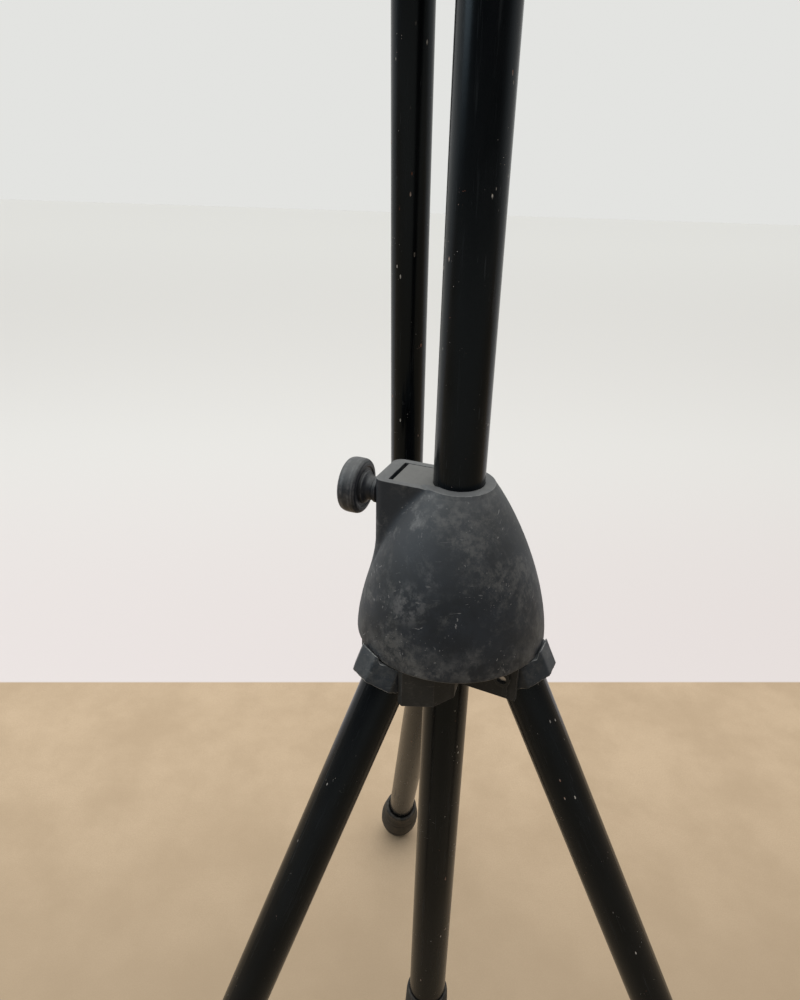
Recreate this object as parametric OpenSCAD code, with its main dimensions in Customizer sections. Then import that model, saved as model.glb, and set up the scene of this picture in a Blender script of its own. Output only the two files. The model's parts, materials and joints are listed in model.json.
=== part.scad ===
// Webcam on a tripod stand: a sliding domed hub on a straight post, three folding
// legs, a telescoping centre tube, a boom hanging beside the post and a webcam.
// Units are millimetres, +Z is up and the floor is z = 0. The parts are drawn round the
// post on the Z axis, then moved so that the origin is the middle of the footprint.

/* [Stand] */
// Height of the flat top of the hub above the floor
hub_z = 640; // [560:1:700]
// Outside diameter of the main post
post_d = 30; // [26:0.5:32]
// Wall of every steel tube
tube_wall = 1.5; // [1:0.1:2]
// Height of the top end of the main post
post_top_z = 945; // [900:1:1000]
// Outside diameter of the telescoping centre tube
inner_d = 25; // [22:0.5:25.5]

/* [Legs] */
// Outside diameter of a leg tube
leg_d = 28; // [24:0.5:29]
// Angle between an open leg and the post
leg_spread = 26.1; // [24:0.1:28]
// Direction of the right front leg
leg_az = -20; // [-60:1:60]
// Distance of a leg hinge from the post axis
pivot_r = 43; // [42:0.5:46]
// Drop of a leg hinge below the hub top
pivot_drop = 111; // [109:0.5:113]
// Largest radius of a rubber leg foot
foot_r = 20; // [18:0.5:21]
// Length of the straight part of a rubber leg foot
foot_len = 66; // [50:1:80]

/* [Hub] */
// Direction of the clamp arm
arm_az = 163; // [150:1:170]
// Length of the clamp arm from the post axis
arm_len = 46.5; // [45.5:0.5:48]
// Width of the clamp arm
arm_w = 35; // [33:0.5:36]
// Radius of the clamp knob
knob_r = 16.8; // [14:0.2:17.6]
// Thickness of the clamp knob
knob_t = 11; // [9:0.5:13]

/* [Boom] */
// Height of the boom swivel axis
swivel_z = 1263; // [1240:1:1290]
// Outside diameter of the boom tube
boom_d = 22; // [20:0.5:22]
// Lean of the boom from vertical
boom_tilt = 9; // [8:0.5:10]
// Sideways place of the boom axis
boom_x = -36.8; // [-38:0.1:-36.5]
// Length of the boom below the swivel
boom_low = 655; // [600:1:670]
// Length of the boom above the swivel
boom_up = 230; // [200:1:300]

/* [Webcam] */
// Width of the webcam body
cam_w = 92; // [84:1:100]
// Height of the webcam body
cam_h = 32; // [30:0.5:34]
// Radius of the lens opening
lens_r = 8; // [7:0.5:9]

/* [Hidden] */

$fn = 96;
eps = 0.01;
fit = 0.05;
post_r = post_d / 2;
inner_r = inner_d / 2;
leg_r = leg_d / 2;
boom_r = boom_d / 2;
az_list = [leg_az, leg_az + 120, leg_az + 240];
pivot_z = hub_z - pivot_drop;

// hub
dome_h = 99;
dome_grow = 38.1;
dome_steps = 22;
rim_z = hub_z - dome_h;
core_bot = hub_z - 125;
core_top = hub_z - 30.6;
flange_z = hub_z - 67;
flange_t = 4;
collar_r = 23;
slot_half = 18.8;
cheek_t = 3.4;
pin_r = 3;
// leg sleeve
sleeve_half = 18.5;
sleeve_in = -16.5;
sleeve_out = 22.6;
sleeve_len = 22;
leg_top = 3.6;
// leg length from hinge to the centre of the rounded foot end
foot_sink = 1.5;
leg_len = (pivot_z - foot_r + foot_sink) / cos(leg_spread);
// the origin is the middle of the footprint, on the floor
foot_reach = pivot_r + leg_len * sin(leg_spread);
feet_x = [for (a = az_list) foot_reach * cos(a)];
feet_y = [for (a = az_list) foot_reach * sin(a)];
post_x = -(max(feet_x) + min(feet_x)) / 2;
post_y = -(max(feet_y) + min(feet_y)) / 2;
// clamp arm
screw_z = hub_z - 15.7;
slot_end = 38.8;
slot_w = 26;
slot_floor = hub_z - 28.5;
shoe_end = 36.2;
screw_r = 4;
nut_af = 13;
nut_t = 6.5;
screw_az_off = 68;
cover_screw_r = 37;
// post foot and tube ends
post_foot_top = hub_z - 480;
post_foot_h = 46;
post_bot = post_foot_top - post_foot_h + 6;
// clutch
clutch_z = post_top_z;
inner_bot = clutch_z - 300;
inner_top = swivel_z - 14;
// boom
swivel_off = 22;
bracket_face = -20.8;
washer_t = 1.4;
// webcam
tip_z = boom_up;
hinge_up = tip_z + 33;
hinge_y = -swivel_off * cos(boom_tilt) - hinge_up * sin(boom_tilt);
hinge_z = swivel_z - swivel_off * sin(boom_tilt) + hinge_up * cos(boom_tilt);
cam_z = hinge_z + 21 + cam_h / 2;
cam_front_y = hinge_y - 16;
cam_split_y = hinge_y - 1;
cam_back_y = hinge_y + 12;
cam_wall = 2;
shutter_w = 2 * lens_r + 5;
shutter_go = 20;

// Moves the stand, drawn round the Z axis, to its place over the footprint.
module place() {
  translate([post_x, post_y, 0])
    children();
}

// A frame whose origin is a leg hinge, +Z up along the leg and +X outward.
module at_leg(i) {
  rotate([0, 0, az_list[i]])
    translate([pivot_r, 0, pivot_z])
      rotate([0, -leg_spread, 0])
        children();
}

// A frame whose +Z runs out along the clamp screw.
module at_arm() {
  rotate([0, 0, arm_az])
    translate([0, 0, screw_z])
      rotate([0, 90, 0])
        children();
}

// A frame at the swivel with +Z up along the boom; the boom axis is at y = -swivel_off.
module at_boom() {
  translate([boom_x, 0, swivel_z])
    rotate([boom_tilt, 0, 0])
      children();
}

module tube(r, wall, z0, z1) {
  difference() {
    translate([0, 0, z0])
      cylinder(h = z1 - z0, r = r);
    translate([0, 0, z0 - 1])
      cylinder(h = z1 - z0 + 2, r = r - wall);
  }
}

// ---------------------------------------------------------------- hub

// Radius of the dome at a depth below the flat top.
function dome_r(t) = 20.5 + dome_grow * pow(1 - pow(1 - t / dome_h, 1.6), 0.9);

function dome_pts(d) = [for (k = [0:dome_steps])
  let (t = 0.9 + (dome_h - 0.9) * pow(k / dome_steps, 1.3))
  [dome_r(t) - d, hub_z - t]];

module dome_outer() {
  rotate_extrude()
    polygon(concat([[0, rim_z], [0, hub_z], [20.2, hub_z]], dome_pts(0)));
}

// Space inside the dome, open at the bottom.
module dome_cavity(gap, top) {
  intersection() {
    rotate_extrude()
      polygon(concat([[0, rim_z - 60], [0, hub_z]], dome_pts(3 + gap),
        [[dome_r(dome_h) - 3 - gap, rim_z - 60]]));
    translate([0, 0, rim_z - 60])
      cylinder(h = top - rim_z + 60, r = 70);
  }
}

module arm_box() {
  corner = 6;
  z0 = hub_z - 54;
  h = 53;
  rotate([0, 0, arm_az])
    union() {
      translate([0, -arm_w / 2, z0])
        cube([arm_len - corner, arm_w, h]);
      translate([0, corner - arm_w / 2, z0])
        cube([arm_len, arm_w - 2 * corner, h]);
      for (s = [-1, 1])
        translate([arm_len - corner, s * (arm_w / 2 - corner), z0])
          cylinder(h = h, r = corner);
    }
}

module cover_posts() {
  for (a = az_list)
    rotate([0, 0, a + screw_az_off])
      translate([cover_screw_r, 0, flange_z + flange_t])
        cylinder(h = 40, r = 5.5);
}

module hub_cover() {
  color([0.13, 0.14, 0.15])
    place()
    difference() {
      union() {
        difference() {
          union() {
            dome_outer();
            arm_box();
          }
          dome_cavity(0, hub_z - 30);
        }
        intersection() {
          cover_posts();
          dome_outer();
        }
      }
      translate([0, 0, rim_z - 1])
        cylinder(h = 120, r = post_r + fit);
      rotate([0, 0, arm_az])
        translate([0, -slot_w / 2, slot_floor])
          cube([slot_end, slot_w, 40]);
      at_arm()
        cylinder(h = 60, r = screw_r + 0.3);
      at_arm()
        translate([0, 0, slot_end - 1])
          cylinder(h = nut_t + 1, r = nut_af / sqrt(3) + fit, $fn = 6);
      for (a = az_list)
        rotate([0, 0, a + screw_az_off])
          translate([cover_screw_r, 0, flange_z - 1])
            cylinder(h = 22, r = 2);
    }
}

module cheek_clip() {
  union() {
    dome_cavity(0.6, flange_z + flange_t);
    translate([0, 0, core_bot - 1])
      cylinder(h = rim_z - core_bot - 1, r = 58);
  }
}

module hub_core() {
  cheek_top = flange_z + 1;
  color([0.20, 0.20, 0.20])
    place()
    difference() {
      union() {
        translate([0, 0, core_bot + 3])
          cylinder(h = core_top - core_bot - 3, r = collar_r);
        translate([0, 0, flange_z])
          cylinder(h = flange_t, r = 46.4);
        intersection() {
          cheek_clip();
          union()
            for (a = az_list)
              rotate([0, 0, a]) {
                translate([14, -slot_half - cheek_t, core_bot])
                  cube([38, cheek_t, cheek_top - core_bot]);
                translate([44, -slot_half - cheek_t - 1.4, core_bot + 3])
                  cube([3, 2, cheek_top - core_bot - 4]);
                translate([0, 0, core_bot])
                  linear_extrude(height = cheek_top - core_bot)
                    polygon([[8, slot_half], [52.5, slot_half], [52.5, 22.6],
                      [37.2, 33.5], [21.5, 33.5], [8, 22]]);
                translate([0, -slot_half - cheek_t, pivot_z])
                  rotate([90, 0, 0])
                    translate([pivot_r, 0, 0])
                      cylinder(h = 1.6, r = 5);
              }
        }
      }
      translate([0, 0, core_bot - 1])
        cylinder(h = 130, r = post_r + fit);
      for (a = az_list)
        rotate([0, 0, a])
          translate([pivot_r, 24.3, pivot_z])
            rotate([90, 0, 0])
              cylinder(h = 84.3, r = pin_r + 0.02);
      for (a = az_list)
        rotate([0, 0, a + screw_az_off])
          translate([cover_screw_r, 0, flange_z - 1])
            cylinder(h = 10, r = 2.2);
      // slot behind each leg sleeve
      for (a = az_list)
        rotate([0, 0, a])
          translate([collar_r, -slot_half, core_bot - 1])
            cube([40, 2 * slot_half, flange_z - core_bot + 1]);
    }
}

module cover_screws() {
  color([0.55, 0.56, 0.58])
    place()
    for (a = az_list)
      rotate([0, 0, a + screw_az_off])
        translate([cover_screw_r, 0, flange_z])
          difference() {
            union() {
              translate([0, 0, -2.6])
                cylinder(h = 2.6, r = 3.8);
              cylinder(h = 17, r = 1.98);
            }
            translate([0, 0, -3])
              cylinder(h = 2, r = 1.7, $fn = 6);
          }
}

module clamp_nut() {
  color([0.60, 0.60, 0.62])
    place()
    at_arm()
      translate([0, 0, slot_end - 0.2])
        difference() {
          cylinder(h = nut_t, r = nut_af / sqrt(3), $fn = 6);
          translate([0, 0, -1])
            cylinder(h = nut_t + 2, r = screw_r + fit);
        }
}

module clamp_shoe() {
  color([0.24, 0.24, 0.23])
    place()
    difference() {
      rotate([0, 0, arm_az])
        translate([5, -slot_w / 2 + 0.2, slot_floor + 0.3])
          cube([shoe_end - 5, slot_w - 0.4, hub_z - 1.3 - slot_floor - 0.3]);
      translate([0, 0, slot_floor - 1])
        cylinder(h = 40, r = post_r + fit);
    }
}

module clamp_screw() {
  color([0.50, 0.50, 0.52])
    place()
    at_arm() {
      translate([0, 0, shoe_end + 0.02])
        cylinder(h = 1, r1 = screw_r - 1, r2 = screw_r);
      translate([0, 0, shoe_end + 1])
        cylinder(h = 66 - shoe_end - 1, r = screw_r);
      translate([0, 0, arm_len + 1])
        cylinder(h = 1.4, r = 7);
    }
}

module clamp_knob() {
  z0 = 60.5;
  color([0.16, 0.18, 0.20])
    place()
    at_arm()
      difference() {
        rotate_extrude()
          polygon([[0, arm_len + 3], [7.6, arm_len + 3], [8.2, arm_len + 3.8],
            [8.2, arm_len + 5.4], [7.4, arm_len + 6.2], [7.4, z0 - 4.6],
            [8.6, z0 - 3.4], [10.2, z0 - 2.4], [10.2, z0 - 0.6],
            [12.6, z0 - 0.6], [12.6, z0 - 1.4], [14.4, z0 - 1.4],
            [15.8, z0 - 0.9], [knob_r - 0.2, z0 + 0.4], [knob_r, z0 + 1.8],
            [knob_r, z0 + knob_t - 3.2], [knob_r - 0.7, z0 + knob_t - 1.4],
            [knob_r - 2.2, z0 + knob_t - 0.3], [knob_r - 4, z0 + knob_t],
            [0, z0 + knob_t + 0.4]]);
        translate([0, 0, 40])
          cylinder(h = 26.1, r = screw_r + 0.02);
      }
}

module hinge_pins() {
  color([0.45, 0.46, 0.48])
    place()
    for (a = az_list)
      rotate([0, 0, a])
        translate([pivot_r, 0, pivot_z])
          rotate([90, 0, 0])
            translate([0, 0, -24])
              cylinder(h = 45.8, r = pin_r);
}

// ---------------------------------------------------------------- legs

module sleeve(i) {
  z0 = -sleeve_len / 2;
  color([0.20, 0.22, 0.25])
    place()
    at_leg(i)
      difference() {
        translate([0, 0, z0])
          linear_extrude(height = sleeve_len)
            polygon([[sleeve_in, -sleeve_half], [10.8, -sleeve_half], [12.6, -17.9],
              [sleeve_out, -6.8], [sleeve_out, 6.8], [12.6, 17.9],
              [10.8, sleeve_half], [sleeve_in, sleeve_half]]);
        translate([0, 0, z0 - 1])
          cylinder(h = leg_top + 0.6 - z0 + 1, r = leg_r + fit);
        translate([0, 30, 0])
          rotate([90, 0, 0])
            cylinder(h = 60, r = pin_r + fit);
        // notch that clears the hub rim while the leg folds, with a lip outside the rim
        translate([0, 30, 0])
          rotate([90, 0, 0])
            linear_extrude(height = 60)
              polygon([[9.2, 11.5], [12, 7.3], [13.2, 5.2], [19.9, 2.6], [21.9, 6.8],
                [30, 2.8], [30, 14], [9.2, 14]]);
      }
}

module sleeve_right() { sleeve(0); }
module sleeve_rear() { sleeve(1); }
module sleeve_left() { sleeve(2); }

module leg_tube(i) {
  color([0.05, 0.06, 0.07])
    place()
    at_leg(i)
      difference() {
        tube(leg_r, tube_wall, -leg_len + 4, leg_top);
        translate([0, 30, 0])
          rotate([90, 0, 0])
            cylinder(h = 60, r = pin_r + fit);
      }
}

module leg_right() { leg_tube(0); }
module leg_rear() { leg_tube(1); }
module leg_left() { leg_tube(2); }

module foot(i) {
  color([0.12, 0.12, 0.13])
    place()
    difference() {
      at_leg(i)
        translate([0, 0, -leg_len])
          difference() {
            union() {
              sphere(r = foot_r);
              rotate_extrude()
                polygon([[0, 0], [foot_r, 0], [foot_r + 1.6, 8], [foot_r + 2.4, 18],
                  [foot_r + 2.2, 30], [foot_r + 1, 42], [foot_r - 0.8, 54],
                  [foot_r - 1.6, foot_len - 2.5], [foot_r - 2.4, foot_len - 0.8],
                  [foot_r - 3.4, foot_len], [0, foot_len]]);
            }
            translate([0, 0, 3.9])
              cylinder(h = foot_len, r = leg_r + 0.02);
            translate([0, 0, foot_len - 5])
              cylinder(h = 6, r1 = leg_r - 0.4, r2 = foot_r - 4.6);
          }
      translate([-500, -500, -60])
        cube([1000, 1000, 60]);
    }
}

module foot_right() { foot(0); }
module foot_rear() { foot(1); }
module foot_left() { foot(2); }

// ---------------------------------------------------------------- post

module post_outer() {
  color([0.04, 0.05, 0.06])
    place()
    tube(post_r, tube_wall, post_bot, post_top_z);
}

module post_foot() {
  r = post_r;
  z1 = post_foot_top;
  z0 = z1 - post_foot_h;
  color([0.12, 0.12, 0.13])
    place()
    difference() {
      rotate_extrude()
        polygon([[0, z0], [r + 1, z0], [r + 3, z0 + 2], [r + 3.6, z0 + 6],
          [r + 3.3, z0 + 18], [r + 2.7, z1 - 9], [r + 2.3, z1 - 3],
          [r + 1.9, z1 - 1], [r + 1.2, z1], [0, z1]]);
      translate([0, 0, post_bot - 0.02])
        cylinder(h = 60, r = r + 0.02);
    }
}

module clutch_body() {
  z = clutch_z;
  color([0.14, 0.14, 0.15])
    place()
    difference() {
      rotate_extrude()
        polygon([[0, z - 52], [17.5, z - 52], [19.5, z - 50], [20.5, z - 44],
          [20.5, z - 22], [19, z - 20], [17.4, z - 20], [17.4, z + 6],
          [0, z + 6]]);
      translate([0, 0, z - 60])
        cylinder(h = 60, r = post_r + 0.02);
      translate([0, 0, z - 10])
        cylinder(h = 40, r = inner_r + 0.35);
      translate([0, 0, z + 0.5])
        cylinder(h = 20, r = 15.4);
    }
}

module clutch_collet() {
  z = clutch_z;
  color([0.75, 0.75, 0.72])
    place()
    difference() {
      rotate_extrude()
        polygon([[0, z + 0.7], [15.2, z + 0.7], [15.2, z + 6.2], [16.8, z + 7.4],
          [16.8, z + 9], [14.2, z + 15], [0, z + 15]]);
      translate([0, 0, z - 5])
        cylinder(h = 40, r = inner_r + fit);
      for (k = [0:3])
        rotate([0, 0, 45 * k])
          translate([-30, -0.6, z + 3])
            cube([60, 1.2, 30]);
    }
}

module clutch_ring() {
  z = clutch_z;
  color([0.10, 0.10, 0.11])
    place()
    difference() {
      union() {
        rotate_extrude()
          polygon([[0, z - 19.6], [22.2, z - 19.6], [23.6, z - 18], [24, z - 14],
            [23.4, z + 8], [21.5, z + 14], [18.5, z + 19], [17, z + 20],
            [0, z + 20]]);
        for (k = [0:11])
          rotate([0, 0, 30 * k])
            translate([23, 0, z - 15])
              cylinder(h = 22, r = 1.8);
      }
      translate([0, 0, z - 25])
        cylinder(h = 34.5, r = 17.4 + fit);
      translate([0, 0, z + 9.4])
        cylinder(h = 6.4, r1 = 17.4, r2 = 14.4);
      translate([0, 0, z])
        cylinder(h = 30, r = inner_r + 0.4);
    }
}

module post_inner() {
  color([0.62, 0.63, 0.65])
    place()
    tube(inner_r, tube_wall, inner_bot, inner_top);
}

module inner_guide() {
  z0 = inner_bot - 6;
  color([0.15, 0.15, 0.16])
    place()
    difference() {
      rotate_extrude()
        polygon([[0, z0], [12.8, z0], [post_r - tube_wall - fit, z0 + 1],
          [post_r - tube_wall - fit, z0 + 5.9], [inner_r - tube_wall - 0.02, z0 + 5.9],
          [inner_r - tube_wall - 0.02, z0 + 30], [0, z0 + 30]]);
      translate([0, 0, z0 - 1])
        cylinder(h = 40, r = 8);
    }
}

// ---------------------------------------------------------------- swivel and boom

module swivel_bracket() {
  z = swivel_z;
  color([0.16, 0.16, 0.17])
    place()
    difference() {
      union() {
        rotate_extrude()
          polygon([[0, z - 46], [14.6, z - 46], [16, z - 44.5], [16.4, z - 16],
            [14, z - 8], [0, z - 8]]);
        translate([bracket_face, 0, z])
          rotate([0, 90, 0])
            cylinder(h = 6, r = 16);
        translate([bracket_face + 5, 0, z])
          rotate([0, 90, 0])
            cylinder(h = 30, r = 13.5);
        translate([bracket_face + 5, -12, z - 20])
          cube([28, 24, 20]);
      }
      translate([0, 0, z - 60])
        cylinder(h = 60 - 13.9, r = inner_r + 0.02);
      translate([bracket_face - 1, 0, z])
        rotate([0, 90, 0])
          cylinder(h = 60, r = screw_r + fit);
      translate([8.5, 0, z])
        rotate([0, 90, 0])
          cylinder(h = 20, r = nut_af / sqrt(3) + fit, $fn = 6);
    }
}

module swivel_washer() {
  color([0.30, 0.25, 0.20])
    place()
    translate([bracket_face - washer_t, 0, swivel_z])
      rotate([0, 90, 0])
        difference() {
          cylinder(h = washer_t, r = 14.5);
          translate([0, 0, -1])
            cylinder(h = 4, r = screw_r + 0.1);
        }
}

module swivel_bolt() {
  color([0.55, 0.56, 0.58])
    place()
    translate([0, 0, swivel_z])
      rotate([0, 90, 0]) {
        translate([0, 0, -64])
          cylinder(h = 73, r = screw_r);
        translate([0, 0, 8.6])
          cylinder(h = 5.3, r = nut_af / sqrt(3), $fn = 6);
      }
}

module boom_clamp() {
  x1 = bracket_face - washer_t - boom_x;
  color([0.14, 0.15, 0.16])
    place()
    at_boom()
      difference() {
        union() {
          translate([-14.6, -swivel_off, -19])
            cube([x1 + 14.6, swivel_off, 38]);
          translate([-14.6, 0, 0])
            rotate([0, 90, 0])
              cylinder(h = x1 + 14.6, r = 15);
          translate([0, -swivel_off, -19])
            cylinder(h = 38, r = 14.6);
        }
        translate([0, -swivel_off, -30])
          cylinder(h = 60, r = boom_r + fit);
        translate([-20, 0, 0])
          rotate([0, 90, 0])
            cylinder(h = 40, r = screw_r + fit);
        translate([-1, -swivel_off, -30])
          cube([2, 60, 60]);
      }
}

module swivel_knob() {
  color([0.10, 0.10, 0.11])
    place()
    translate([-52, 0, swivel_z])
      rotate([0, -90, 0])
        difference() {
          union() {
            rotate_extrude()
              polygon([[0, 0], [8.5, 0], [9, 0.6], [9, 4], [12, 7], [12.5, 9],
                [12.5, 18], [11, 20], [0, 20.6]]);
            for (s = [-1, 1])
              translate([s * 16, 0, 8])
                cylinder(h = 11, r = 6);
            translate([-16, -5, 8])
              cube([32, 10, 11]);
          }
          translate([0, 0, -1])
            cylinder(h = 14, r = screw_r + fit);
        }
}

module boom_tube() {
  color([0.04, 0.05, 0.06])
    place()
    at_boom()
      translate([0, -swivel_off, 0])
        tube(boom_r, tube_wall, -boom_low, boom_up);
}

module boom_cap() {
  color([0.10, 0.10, 0.10])
    place()
    at_boom()
      translate([0, -swivel_off, -boom_low])
        rotate_extrude()
          polygon([[0, -4], [8, -4], [10.2, -3], [boom_r, -1.2], [boom_r, -0.02],
            [boom_r - tube_wall - 0.06, -0.02], [boom_r - tube_wall - 0.06, 14],
            [7, 14], [7, 1], [0, 1]]);
}

module tip_plug() {
  color([0.10, 0.10, 0.10])
    place()
    at_boom()
      translate([0, -swivel_off, tip_z])
        difference() {
          rotate_extrude()
            polygon([[0, -25], [boom_r - tube_wall - 0.5, -25],
              [boom_r - tube_wall - 0.06, -24], [boom_r - tube_wall - 0.06, 0.02],
              [boom_r, 0.02], [boom_r, 2], [boom_r - 1.4, 4], [0, 4]]);
          translate([0, 0, -16])
            cylinder(h = 30, r = 3.175 + 0.02);
        }
}

module tip_stud() {
  color([0.70, 0.71, 0.73])
    place()
    at_boom()
      translate([0, -swivel_off, tip_z - 15.9])
        cylinder(h = 30, r = 3.175);
}

module tip_disc() {
  color([0.70, 0.71, 0.73])
    place()
    at_boom()
      translate([0, -swivel_off, tip_z + 4.1])
        difference() {
          cylinder(h = 3.6, r = 8.5);
          translate([0, 0, -1])
            cylinder(h = 8, r = 3.175 + 0.03);
          for (k = [0:23])
            rotate([0, 0, 15 * k])
              translate([8.9, 0, -1])
                cylinder(h = 8, r = 0.7);
        }
}

// ---------------------------------------------------------------- webcam

module cam_base() {
  color([0.09, 0.09, 0.10])
    place()
    difference() {
      union() {
        at_boom()
          translate([0, -swivel_off, tip_z + 7.8])
            difference() {
              rotate_extrude()
                polygon([[0, 0], [10, 0], [10.8, 0.8], [10.8, 9], [9.6, 13],
                  [0, 13]]);
              translate([0, 0, -1])
                cylinder(h = 10, r = 4.6);
            }
        for (s = [-1, 1])
          translate([boom_x + s * 7.4 - 1.9, hinge_y, hinge_z])
            rotate([boom_tilt, 0, 0])
              union() {
                translate([0, -6.5, -14])
                  cube([3.8, 13, 14]);
                rotate([0, 90, 0])
                  cylinder(h = 3.8, r = 6.5);
              }
      }
      translate([boom_x - 5.5, hinge_y, hinge_z])
        rotate([0, 90, 0])
          cylinder(h = 11, r = 7.6);
      translate([boom_x - 20, hinge_y, hinge_z])
        rotate([0, 90, 0])
          cylinder(h = 40, r = 2 + 0.02);
    }
}

module cam_insert() {
  color([0.75, 0.62, 0.30])
    place()
    at_boom()
      translate([0, -swivel_off, tip_z + 7.9])
        difference() {
          cylinder(h = 8.6, r = 4.58);
          translate([0, 0, -1])
            cylinder(h = 12, r = 3.175 + 0.03);
        }
}

module cam_hinge_pin() {
  color([0.60, 0.61, 0.63])
    place()
    translate([boom_x - 9, hinge_y, hinge_z])
      rotate([0, 90, 0])
        cylinder(h = 18, r = 2);
}

module cam_neck() {
  z = hinge_z;
  color([0.09, 0.09, 0.10])
    place()
    translate([boom_x, hinge_y, 0])
      difference() {
        union() {
          translate([-5.3, 0, z])
            rotate([0, 90, 0])
              cylinder(h = 10.6, r = 6);
          translate([-5.3, -6, z])
            cube([10.6, 12, 14]);
          translate([0, 0, z + 14])
            cylinder(h = 6.6, r1 = 8, r2 = 11);
          translate([0, 0, z + 20])
            cylinder(h = 4.6, r = 3.4);
          translate([0, 0, z + 23.4])
            cylinder(h = 1.2, r = 4.6);
        }
        translate([-10, 0, z])
          rotate([0, 90, 0])
            cylinder(h = 20, r = 2 + fit);
      }
}

// Stadium-shaped bar along X, from y0 to y1.
module pill(w, h, y0, y1) {
  translate([boom_x, 0, cam_z])
    union() {
      for (s = [-1, 1])
        translate([s * (w - h) / 2, y1, 0])
          rotate([90, 0, 0])
            cylinder(h = y1 - y0, r = h / 2);
      translate([-(w - h) / 2, y0, -h / 2])
        cube([w - h, y1 - y0, h]);
    }
}

module cam_pan_hole() {
  translate([boom_x, hinge_y, hinge_z + 20])
    cylinder(h = 4, r = 3.4 + fit);
  translate([boom_x, hinge_y, hinge_z + 23.3])
    cylinder(h = 1.5, r = 4.6 + fit);
}

module cam_post_holes(r, y0, y1) {
  for (s = [-1, 1])
    translate([boom_x + s * (cam_w / 2 - 12), y1, cam_z])
      rotate([90, 0, 0])
        cylinder(h = y1 - y0, r = r);
}

module cam_rear() {
  color([0.08, 0.08, 0.09])
    place()
    difference() {
      union() {
        difference() {
          union() {
            pill(cam_w, cam_h, cam_split_y, cam_back_y - 3);
            pill(cam_w - 3, cam_h - 3, cam_split_y, cam_back_y - 1);
            pill(cam_w - 8, cam_h - 8, cam_split_y, cam_back_y);
          }
          pill(cam_w - 2 * cam_wall, cam_h - 2 * cam_wall, cam_split_y - 1,
            cam_back_y - 4);
        }
        translate([boom_x - 8, cam_split_y, cam_z - cam_h / 2])
          cube([16, cam_back_y - 3 - cam_split_y, 5.6]);
        cam_post_holes(3.4, cam_split_y, cam_back_y - 3);
      }
      cam_pan_hole();
      cam_post_holes(1.5, cam_split_y - 1, cam_back_y + 1);
      cam_post_holes(2.8, cam_back_y - 3, cam_back_y + 1);
      translate([boom_x + 18 - 4.55, cam_back_y - 6, cam_z - 1.75])
        cube([9.1, 10, 3.5]);
    }
}

module cam_front() {
  color([0.07, 0.07, 0.08])
    place()
    difference() {
      union() {
        pill(cam_w, cam_h, cam_front_y + 2, cam_split_y - 0.1);
        pill(cam_w - 2.4, cam_h - 2.4, cam_front_y + 0.8, cam_split_y - 0.1);
      }
      pill(cam_w - 2 * cam_wall, cam_h - 2 * cam_wall, cam_front_y + 4,
        cam_split_y + 1);
      pill(cam_w - 7, cam_h - 7, cam_front_y - 1, cam_front_y + 2.2);
      translate([boom_x, cam_split_y, cam_z])
        rotate([90, 0, 0])
          cylinder(h = 30, r = lens_r + 2.05);
      cam_pan_hole();
      translate([boom_x - 25, cam_split_y, cam_z])
        rotate([90, 0, 0])
          cylinder(h = 30, r = 1.2);
      cam_post_holes(1.45, cam_front_y + 3.2, cam_split_y);
    }
}

module cam_glass() {
  x1 = shutter_w / 2 + shutter_go;
  color([0.02, 0.02, 0.03])
    place()
    difference() {
      union() {
        pill(cam_w - 7.1, cam_h - 7.1, cam_front_y + 0.9, cam_front_y + 2.1);
        for (s = [0, 1])
          translate([boom_x, 0, cam_z])
            mirror([0, 0, s])
              union() {
                translate([-shutter_w / 2, cam_front_y - 3.9, 9.4])
                  cube([shutter_w + shutter_go, 5, 1.6]);
                translate([-shutter_w / 2, cam_front_y - 3.9, 8.4])
                  cube([shutter_w + shutter_go, 0.6, 1.6]);
              }
        translate([boom_x + x1 - 0.1, cam_front_y - 3.9, cam_z - 11])
          cube([1.4, 5, 22]);
        translate([boom_x - shutter_w / 2 - 1.3, cam_front_y - 3.9, cam_z - 11])
          cube([1.4, 5, 22]);
      }
      translate([boom_x, cam_split_y, cam_z])
        rotate([90, 0, 0])
          cylinder(h = 30, r = lens_r + 2.05);
      for (s = [-1, 1])
        for (k = [-1, 0, 1])
          translate([boom_x + s * 36 + 2 * k, cam_split_y, cam_z])
            rotate([90, 0, 0])
              cylinder(h = 30, r = 0.5);
    }
}

module lens_ring() {
  color([0.18, 0.18, 0.19])
    place()
    translate([boom_x, cam_front_y, cam_z])
      rotate([-90, 0, 0])
        rotate_extrude()
          polygon([[lens_r - 2.4, 2.2], [lens_r - 0.6, -0.8], [lens_r - 0.2, -1.3],
            [lens_r + 0.9, -1.3], [lens_r + 1.3, -0.8], [lens_r + 1.3, 0.8],
            [lens_r + 2, 0.8], [lens_r + 2, 5], [lens_r - 1, 5], [lens_r - 1, 2.2]]);
}

module lens_barrel() {
  color([0.05, 0.05, 0.05])
    place()
    translate([boom_x, cam_front_y, cam_z])
      rotate([-90, 0, 0])
        difference() {
          rotate_extrude()
            polygon([[0, 2.3], [lens_r - 1.3, 2.3], [lens_r - 1.3, 11], [0, 11]]);
          translate([0, 0, 1])
            cylinder(h = 2.9, r = 4.55);
          translate([0, 0, 3])
            cylinder(h = 9, r = 3.5);
        }
}

module lens_glass() {
  color([0.20, 0.22, 0.30])
    place()
    translate([boom_x, cam_front_y, cam_z])
      rotate([-90, 0, 0])
        rotate_extrude()
          polygon([[0, 2], [1.6, 2.1], [3, 2.4], [4.5, 2.9], [4.5, 3.8], [0, 3.8]]);
}

module cam_board() {
  color([0.05, 0.22, 0.12])
    place()
    translate([boom_x - 30, cam_front_y + 11.3, cam_z - 8.5])
      cube([60, 1.4, 21]);
}

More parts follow.
